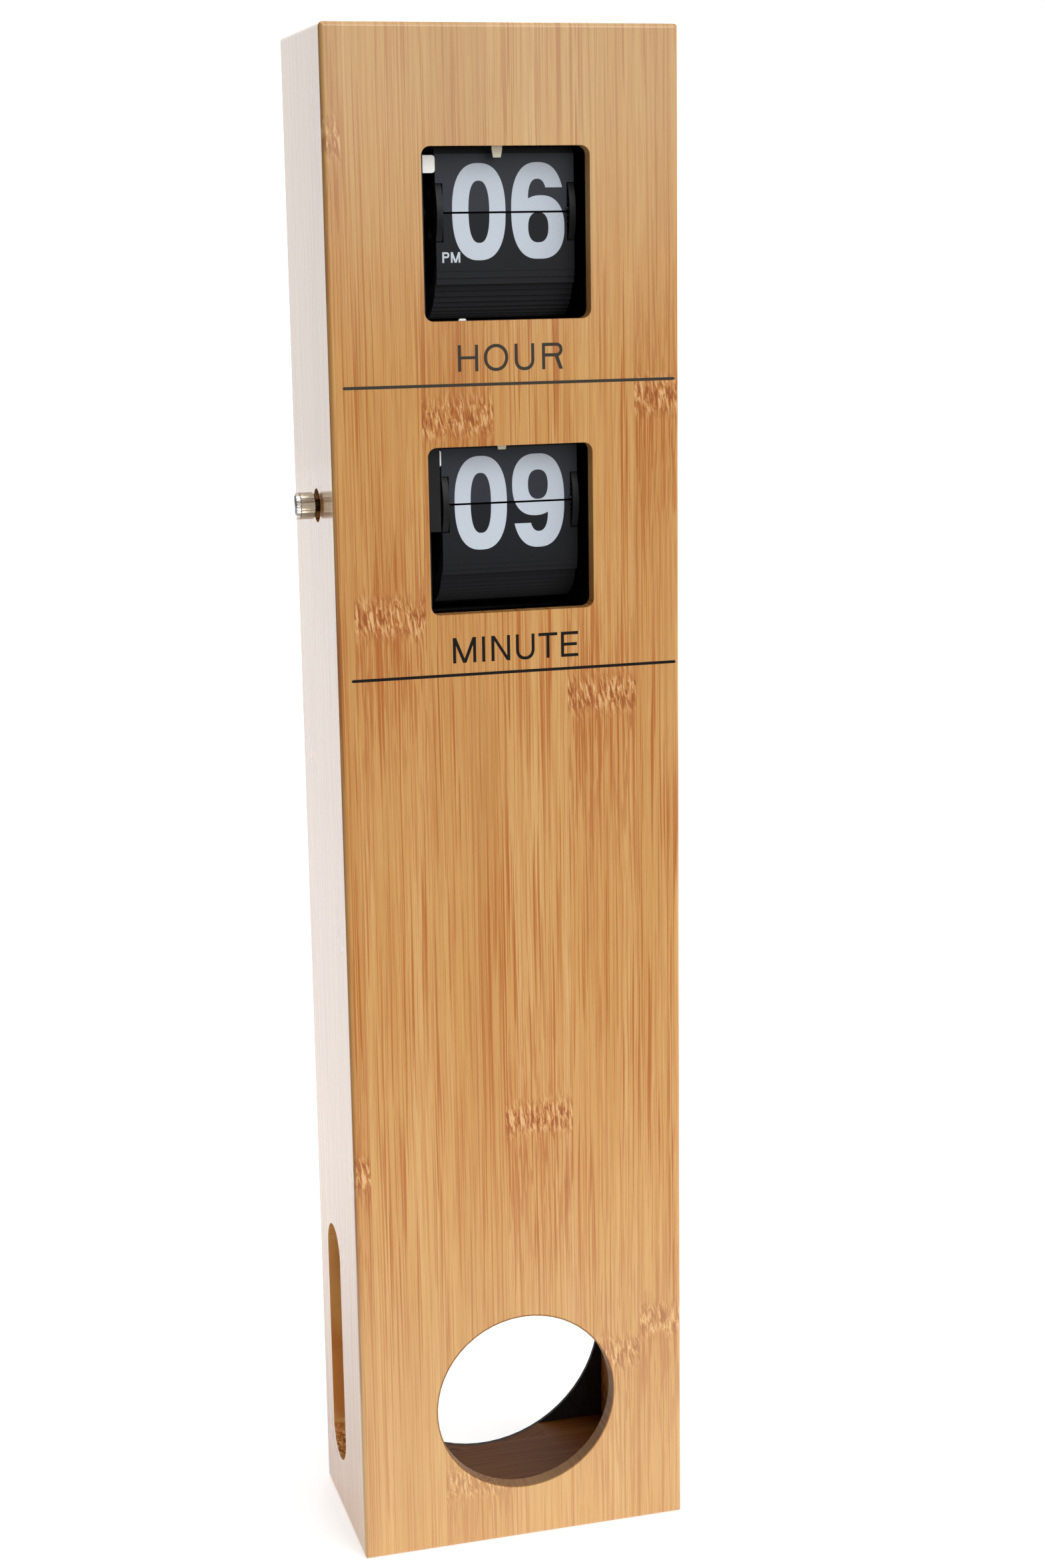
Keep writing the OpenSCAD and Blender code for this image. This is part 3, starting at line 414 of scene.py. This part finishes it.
def floor_material():
    """White light table: it glows round and behind the clock, and is dim further in front and to the left."""
    m = Mat("pale_floor")
    x, y = m.xyz[0], m.xyz[1]
    n = m.noise(m.obj, 3.0, 2.0, 0.5)
    # on the table, from 0 to 1, by the distance in front of the clock and to the left of it
    front = m.remap(y, -0.7, -0.08, 0.0, 1.0, smooth=True)
    left = m.math("ADD", x, m.mul(m.math("MAXIMUM", y, 0.0), 0.42))
    left = m.remap(left, -0.42, -0.13, 0.0, 1.0, smooth=True)
    lit = m.mul(front, left)
    pale = m.mix(m.remap(n, 0.3, 0.7), (0.70, 0.70, 0.70), (0.73, 0.73, 0.73))
    m.set(color=m.mix(lit, (0.30, 0.30, 0.30), pale), rough=0.75, spec=0.2)
    m.glow(m.mul(lit, m.remap(y, -0.06, 0.35, 0.5, 0.95, smooth=True)))
    return m.m


MATERIALS = {}


def make_materials():
    M = MATERIALS
    M["bamboo_front"] = bamboo("bamboo_front", 0, 2, FRONT_EDGE, FRONT_KNOTS, face=BAY)
    M["bamboo_side"] = bamboo("bamboo_side", 1, 2, SIDE_EDGE, SIDE_KNOTS, seed=21.0)
    M["bamboo_dark"] = bamboo("bamboo_dark", 1, 0, FLAT_EDGE, FLAT_KNOTS, seed=37.0, dark=0.24, shade=0.74,
                              coat=0.0, spec=0.06)
    M["bamboo_flat"] = bamboo("bamboo_flat", 1, 0, FLAT_EDGE, FLAT_KNOTS, seed=63.0)
    M["black_board"] = board_material()
    M["black_plastic"] = plastic("black_plastic", (0.006, 0.006, 0.007), 0.42, spec=0.25)
    M["leaf_black"] = leaf_material("flap_card", (0.006, 0.007, 0.010), 0.22)
    # a lighter, glossier copy of the same card for the flipping leaves: painted light
    M["leaf_painted_lit"] = leaf_material("flap_card_painted_lit", (0.020, 0.024, 0.034), 0.3)
    M["steel"] = metal("steel", (0.62, 0.61, 0.58), 0.24)
    M["knob_nickel"] = knob_material()
    M["screw_steel"] = metal("screw_steel", (0.45, 0.44, 0.42), 0.32, along=1)
    M["motor_steel"] = metal("motor_steel", (0.52, 0.53, 0.54), 0.3)
    M["rod_black"] = metal("rod_black", (0.018, 0.018, 0.020), 0.42)
    M["brass"] = metal("brass", (0.76, 0.58, 0.27), 0.25)
    M["cream_plastic"] = plastic("cream_plastic", srgb(214, 210, 186), 0.3, coat=0.3)
    # the white plastic glows by 0.16: painted light, since the part is no lamp
    M["white_plastic"] = plastic("white_plastic", srgb(246, 248, 244), 0.32, coat=0.5, vary=0.02, glow=0.16)
    M["cell_jacket"] = cell_material()
    M["copper"] = coil_material()
    M["board_green"] = plastic("board_green", (0.02, 0.09, 0.045), 0.35, coat=0.4)
    M["magnet"] = metal("magnet", (0.3, 0.3, 0.31), 0.3)
    M["digit_white"] = ink("digit_white", srgb(206, 216, 228), 0.5)
    M["ink_dark"] = ink("ink_dark", srgb(22, 19, 17), 0.55, 0.12)
    M["ink_grey"] = ink("ink_grey", srgb(58, 53, 45), 0.55, 0.2)


# nodes whose look differs from that of their material slot
OWN_LOOK = {
    # the flipping leaves get the lighter copy of the card, which is painted light
    "hour_flip_leaf": "leaf_painted_lit",
    "minute_flip_leaf": "leaf_painted_lit",
    "set_knob": "knob_nickel",
    "top_board": "bamboo_flat",
    "floor_board": "bamboo_dark",
    "shelf": "bamboo_flat",
    "tie_rods": "rod_black",
}


def dress_nodes():
    slots = {s["node"]: s["material_slot"] for s in frame["record"]["subparts"]}
    for name, obj in NODES.items():
        obj.data.materials.clear()
        obj.data.materials.append(MATERIALS[OWN_LOOK.get(name, slots[name])])


def soften(name, width):
    """A small bevel on a CAD node's edges, for the light that real edges catch."""
    mod = NODES[name].modifiers.new("soft_edges", "BEVEL")
    mod.width = width * MM
    mod.segments = 2
    mod.limit_method = "ANGLE"
    mod.angle_limit = math.radians(40)
    mod.harden_normals = False


# ---------------------------------------------------------------- flat shapes
def superellipse(cx, cz, a, b, n):
    count = 96
    pts = []
    for k in range(count):
        t = 2 * math.pi * k / count
        c, s = math.cos(t), math.sin(t)
        pts.append((cx + a * math.copysign(abs(c) ** (2 / n), c),
                    cz + b * math.copysign(abs(s) ** (2 / n), s)))
    return pts


def rect(x0, x1, z0, z1):
    return [(x0, z0), (x1, z0), (x1, z1), (x0, z1)]


def slant(x0, x1, z0, x2, x3, z1):
    """A parallelogram from x0..x1 at z0 to x2..x3 at z1."""
    return [(x0, z0), (x1, z0), (x3, z1), (x2, z1)]


def within(p, poly):
    x, z = p
    odd = False
    for (x0, z0), (x1, z1) in zip(poly, poly[1:] + poly[:1]):
        if (z0 > z) != (z1 > z) and x < (x1 - x0) * (z - z0) / (z1 - z0) + x0:
            odd = not odd
    return odd


def solid_from(polys, inside, name, y, thick, material, body, slot, cuts=()):
    """A thin solid on the plane y, facing -Y, of the points for which inside(p) is true."""
    verts, edges = [], []
    for poly in polys:
        start = len(verts)
        verts += [Vector(p) for p in poly]
        edges += [(start + k, start + (k + 1) % len(poly)) for k in range(len(poly))]
    for a, b in cuts:
        edges.append((len(verts), len(verts) + 1))
        verts += [Vector(a), Vector(b)]
    out_v, _, faces = geometry.delaunay_2d_cdt(verts, edges, [], 0, 1e-5)[:3]
    keep = []
    for f in faces:
        c = sum((out_v[i] for i in f), Vector((0, 0))) / len(f)
        if inside((c.x, c.y)):
            keep.append(f)
    bm = bmesh.new()
    bv = [bm.verts.new((v.x * MM, 0, v.y * MM)) for v in out_v]
    for f in keep:
        bm.faces.new([bv[i] for i in f])
    bmesh.ops.delete(bm, geom=[v for v in bm.verts if not v.link_faces], context="VERTS")
    bmesh.ops.recalc_face_normals(bm, faces=bm.faces)
    if bm.faces and sum(f.normal.y for f in bm.faces) > 0:
        bmesh.ops.reverse_faces(bm, faces=bm.faces)
    rear = bmesh.ops.extrude_face_region(bm, geom=bm.faces[:])
    rear = [g for g in rear["geom"] if isinstance(g, bmesh.types.BMVert)]
    bmesh.ops.translate(bm, verts=rear, vec=(0, thick * MM, 0))
    bmesh.ops.recalc_face_normals(bm, faces=bm.faces)
    bmesh.ops.translate(bm, verts=bm.verts, vec=(0, y * MM, 0))
    mesh = bpy.data.meshes.new(name)
    bm.to_mesh(mesh)
    bm.free()
    obj = bpy.data.objects.new(name, mesh)
    bpy.context.scene.collection.objects.link(obj)
    mesh.materials.append(MATERIALS[material])
    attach(obj, body)


# ---------------------------------------------------------------- numerals
def shape_zero(cx, cz, w, h):
    out = superellipse(cx, cz, w / 2, h / 2, 2.45)
    hole = superellipse(cx, cz, w * 0.195, h * 0.32, 2.5)
    return [out, hole], lambda p: within(p, out) and not within(p, hole)


def shape_six(cx, cz, w, h, flip=1):
    """A plain six; with flip -1 it is turned half round into a nine."""
    # drawn on a field of 16.8 by 28.7 about its centre; the stem's right side and the top stroke's lower one
    kx, kz = w / 16.8, h / 28.7
    stem_x, top_z = -0.1, 6.85
    big = 20

    def at(poly):
        return [(cx + flip * x * kx, cz + flip * z * kz) for x, z in poly]
    out = at(superellipse(0, 0, 8.4, 14.35, 2.45))
    bowl = at(superellipse(0.9, -4.9, 7.5, 9.45, 2.35))
    hole = at(superellipse(0.1, -4.95, 3.2, 4.5, 2.4))
    counter = at(superellipse(-0.1, 3.3, 2.95, 6.15, 2.4))
    stem = at(rect(stem_x, 3.0, -big, big))
    end = at(rect(-big, big, top_z, big))

    def inside(p):
        if not within(p, out) and not within(p, bowl) or within(p, hole):
            return False
        if within(p, bowl):
            return True
        if within(p, counter):
            return False
        x = flip * (p[0] - cx) / kx
        z = flip * (p[1] - cz) / kz
        return x < stem_x or z > top_z
    return [out, bowl, hole, counter, stem, end], inside


def halves(shape, name, split, upper_body, lower_body):
    """A numeral in two halves, above and below the line between two leaves."""
    polys, inside = shape
    x0 = min(p[0] for p in polys[0]) - 5
    x1 = max(p[0] for p in polys[0]) + 5
    for part, sign, body in (("upper", 1, upper_body), ("lower", -1, lower_body)):
        edge = split + sign * SPLIT_GAP
        solid_from(polys, lambda p: inside(p) and sign * (p[1] - edge) > 0, f"{name}_{part}", *DIGITS,
                   "digit_white", body, "white_plastic", cuts=[((x0, edge), (x1, edge))])


# ---------------------------------------------------------------- lettering
def letter(ch, x, z, w, h, s):
    """(polygons, inside) of a plain capital w by h, strokes s wide, whose lower left corner is at x, z."""
    X, Z = x + w, z + h
    add, sub = [], []
    if ch in "HNMPRE":
        add.append(rect(x, x + s, z, Z))
    if ch in "HNM":
        add.append(rect(X - s, X, z, Z))
    if ch == "H":
        add.append(rect(x, X, z + h * 0.5 - s * 0.3, z + h * 0.5 + s * 0.6))
    if ch == "N":
        add.append(slant(X - s * 1.12, X, z, x, x + s * 1.12, Z))
    if ch == "M":
        c = x + w / 2
        add.append(slant(c - s * 0.55, c + s * 0.55, z, x, x + s * 1.15, Z))
        add.append(slant(c - s * 0.55, c + s * 0.55, z, X - s * 1.15, X, Z))
    if ch == "I":
        add.append(rect(x, X, z, Z))
    if ch == "E":
        for k, r in ((0, 1.0), (0.5, 0.92), (1, 1.0)):
            zc = z + k * (h - s)
            add.append(rect(x, x + w * r, zc, zc + s))
    if ch == "T":
        add.append(rect(x, X, Z - s, Z))
        add.append(rect(x + w / 2 - s / 2, x + w / 2 + s / 2, z, Z))
    if ch == "O":
        add.append(superellipse(x + w / 2, z + h / 2, w / 2, h / 2 + 0.1, 2.1))
        sub.append(superellipse(x + w / 2, z + h / 2, w / 2 - s, h / 2 + 0.1 - s, 2.1))
    if ch == "U":
        r, rise = w / 2, h * 0.42
        for polys, inset, over in ((add, 0, 0), (sub, s, 1)):
            curve = superellipse(x + r, z + rise, r - inset, rise + 0.1 - inset, 2.3)
            low = [p for p in curve if p[1] <= z + rise]
            low.sort(key=lambda p: math.atan2(p[1] - z - rise, p[0] - x - r))
            polys.append([(X - inset, Z + over), (x + inset, Z + over)] + low)
    if ch in "PR":
        zc = z + h * (0.74 if ch == "R" else 0.72)
        hb = Z - zc
        add.append(rect(x, X - hb, zc - hb, Z))
        add.append(superellipse(X - hb, zc, hb, hb, 2.2))
        sub.append(rect(x + s, X - hb, zc - hb + s, Z - s))
        sub.append(superellipse(X - hb, zc, hb - s, hb - s, 2.2))
    if ch == "R":
        add.append(slant(X - s * 1.1, X + s * 0.1, z, X - hb - s * 0.6, X - hb + s * 0.6, zc - hb + s * 0.5))
    stem = rect(x, x + s, z, Z) if ch in "PR" else None

    def inside(p):
        if stem and within(p, stem):
            return True
        if ch == "R" and p[1] < zc - hb + s and within(p, add[-1]):
            return True
        return any(within(p, a) for a in add) and not any(within(p, b) for b in sub)
    return add + sub, inside


def word(name, letters, z, h, s, plane, material, body, slot):
    """Letters as (capital, x, width), all h high, on one plane (y, thickness)."""
    shapes = [letter(c, x, z, w, h, s) for c, x, w in letters]
    polys = [p for ps, _ in shapes for p in ps]
    tests = [t for _, t in shapes]
    solid_from(polys, lambda p: any(t(p) for t in tests), name, *plane, material, body, slot)


def print_front():
    hour = [("H", -15.4, 6.3), ("O", -7.3, 7.6), ("U", 2.35, 6.2), ("R", 11.0, 6.5)]
    minute = [("M", -18.9, 7.4), ("I", -9.6, 0.95), ("N", -6.6, 6.0), ("U", 1.3, 6.0), ("T", 8.6, 6.1),
              ("E", 15.9, 5.6)]
    height, stroke = 7.9, 0.95
    word("word_hour", hour, 386.4, height, stroke, PRINT, "ink_grey", "frame", "black_plastic")
    word("word_minute", minute, 297.45, height, stroke, PRINT, "ink_dark", "frame", "black_plastic")
    for name, z, x0, x1, mat in (("line_hour", 382.4, -51.1, 53.6, "ink_grey"),
                                 ("line_minute", 293.75, -51.0, 53.7, "ink_dark")):
        bar = [(x0 + 0.4, z - 0.45), (x1 - 0.4, z - 0.45), (x1, z - 0.1), (x1, z + 0.1),
               (x1 - 0.4, z + 0.45), (x0 + 0.4, z + 0.45), (x0, z + 0.1), (x0, z - 0.1)]
        solid_from([bar], lambda p, b=bar: within(p, b), name, *PRINT, mat, "frame", "black_plastic")


def print_digits():
    hour = (HOUR_SPLIT, "hour_leaf", "hour_drum")
    minute = (MINUTE_SPLIT, "minute_leaf", "minute_drum")
    halves(shape_zero(-5.4, 433.5, 16.7, 28.7), "hour_zero", *hour)
    halves(shape_six(13.15, 433.65, 16.8, 28.7), "hour_six", *hour)
    halves(shape_zero(-6.5, 345.55, 16.75, 29.0), "minute_zero", *minute)
    halves(shape_six(12.05, 345.6, 16.8, 29.05, -1), "minute_nine", *minute)
    word("mark_pm", [("P", -17.1, 2.2), ("M", -14.45, 2.95)], 418.55, 3.15, 0.55, DIGITS, "digit_white",
         "hour_drum", "white_plastic")


# ---------------------------------------------------------------- stage and light
def area(name, at, to, size, power):
    data = bpy.data.lights.new(name, "AREA")
    data.shape = "RECTANGLE"
    data.size, data.size_y = size
    data.energy = power
    obj = bpy.data.objects.new(name, data)
    obj.location = at
    obj.rotation_euler = (Vector(to) - Vector(at)).to_track_quat("-Z", "Y").to_euler()
    bpy.context.scene.collection.objects.link(obj)


def make_world():
    """Studio light by direction: wide and soft in front and above, a white backdrop behind."""
    world = bpy.data.worlds.new("studio")
    bpy.context.scene.world = world
    world.use_nodes = True
    n = Net(world.node_tree, "Generated")
    x, y, z = n.xyz
    # degrees from straight in front, towards the right
    azimuth = n.mul(n.math("ARCTAN2", x, n.mul(y, -1.0)), 180 / math.pi)
    front = n.mul(n.remap(azimuth, -38, 2, smooth=True), n.remap(azimuth, 95, 60, smooth=True))
    front = n.mul(front, n.remap(z, -0.09, 0.06, 0.0, FRONT_LIGHT, smooth=True))
    back = n.remap(n.math("ABSOLUTE", azimuth), 145, 157, 0.0, BACK_LIGHT, smooth=True)
    top = n.remap(z, 0.75, 0.95, 0.0, TOP_LIGHT, smooth=True)
    total = n.math("MAXIMUM", n.math("MAXIMUM", front, back), n.math("MAXIMUM", top, ROOM_LIGHT))
    bg = n.t.nodes["Background"]
    n.t.links.new(total, bg.inputs["Strength"])
    bg.inputs["Color"].default_value = (1, 1, 1, 1)


def make_stage():
    bm = bmesh.new()
    bmesh.ops.create_grid(bm, x_segments=8, y_segments=8, size=4.0)
    mesh = bpy.data.meshes.new("floor")
    bm.to_mesh(mesh)
    bm.free()
    floor = bpy.data.objects.new("floor", mesh)
    bpy.context.scene.collection.objects.link(floor)
    mesh.materials.append(floor_material())
    make_world()
    area("key_softbox", (0.7, -1.9, 1.6), (0, 0, 0.25), (1.2, 1.2), KEY_POWER)


make_camera()
make_materials()
dress_nodes()
for board in ("front_panel", "left_panel", "right_panel"):
    soften(board, 0.35)
for drum in ("hour_drum", "minute_drum"):
    soften(drum, 0.25)
print_front()
print_digits()
make_stage()
bpy.context.scene.view_settings.view_transform = "Standard"
